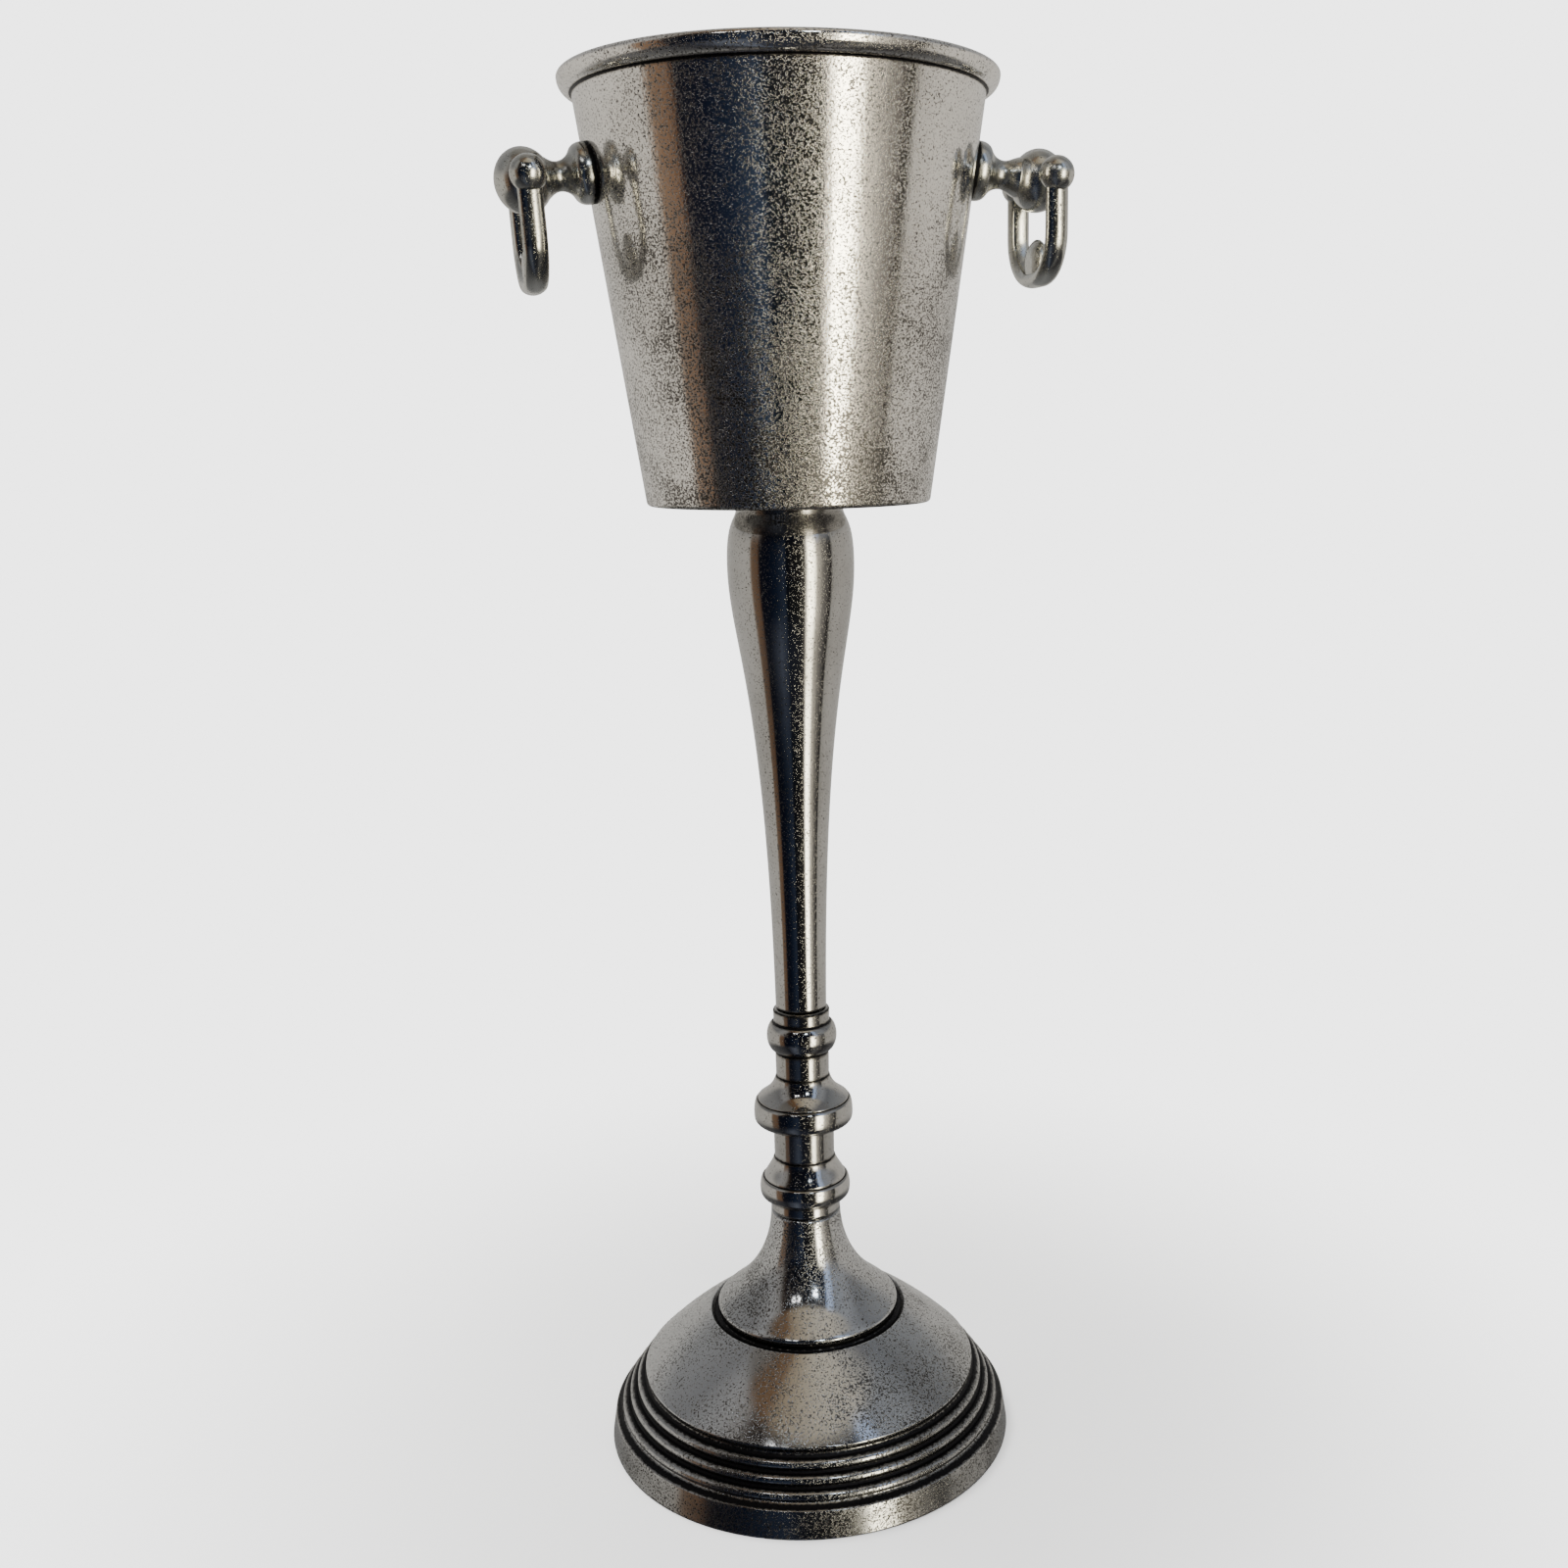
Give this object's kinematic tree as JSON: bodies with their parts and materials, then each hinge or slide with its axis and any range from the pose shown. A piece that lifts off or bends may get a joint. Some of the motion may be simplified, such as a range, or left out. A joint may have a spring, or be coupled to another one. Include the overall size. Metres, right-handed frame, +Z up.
{
  "type": "champagne bucket stand",
  "caption": "Free-standing champagne bucket on a turned pedestal, with a drop-ring handle on each side, in antiqued cast metal.",
  "frame": {"origin": "on the floor at the pedestal's axis, the centre of the bottom of the whole part's box", "axes": "+Z up along the pedestal; Y is parallel to both handle pins; X runs across the stand, from the left handle to the right one"},
  "size_m": [0.2973, 0.2372, 0.7652],
  "materials": {
    "cast_metal": "antiqued and polished cast aluminium, dark patina in pits and grooves",
    "handle_metal": "hand-polished casting with soft dark patina",
    "fastener_steel": "plain bright zinc-plated steel",
    "seal_rubber": "matt black rubber"
  },
  "bodies": {
    "stand": {"base_casting": "cast_metal", "collar_column": "cast_metal", "baluster_stem": "cast_metal", "bucket_shell": "cast_metal", "handle_boss_left": "handle_metal", "handle_boss_right": "handle_metal", "boss_seal_left": "seal_rubber", "boss_seal_right": "seal_rubber", "boss_washer_left": "fastener_steel", "boss_washer_right": "fastener_steel", "boss_screw_left": "fastener_steel", "boss_screw_right": "fastener_steel", "bucket_seal": "seal_rubber", "bucket_washer": "fastener_steel", "cap_nut": "fastener_steel", "base_washer": "fastener_steel", "base_nut": "fastener_steel", "tie_rod": "fastener_steel"},
    "left_ring": {"handle_ring_left": "handle_metal", "handle_pin_left": "fastener_steel"},
    "right_ring": {"handle_ring_right": "handle_metal", "handle_pin_right": "fastener_steel"}
  },
  "joints": [
    {"name": "left_ring_swing", "type": "hinge", "parent": "stand", "child": "left_ring", "pos_m": [-0.13332, -0.00699, 0.7098], "axis": [0, 1, 0], "range_deg": [-31.5, 191]},
    {"name": "right_ring_swing", "type": "hinge", "parent": "stand", "child": "right_ring", "pos_m": [0.1351, -0.01803, 0.7142], "axis": [0, -1, 0], "range_deg": [-36.5, 190]}
  ]
}
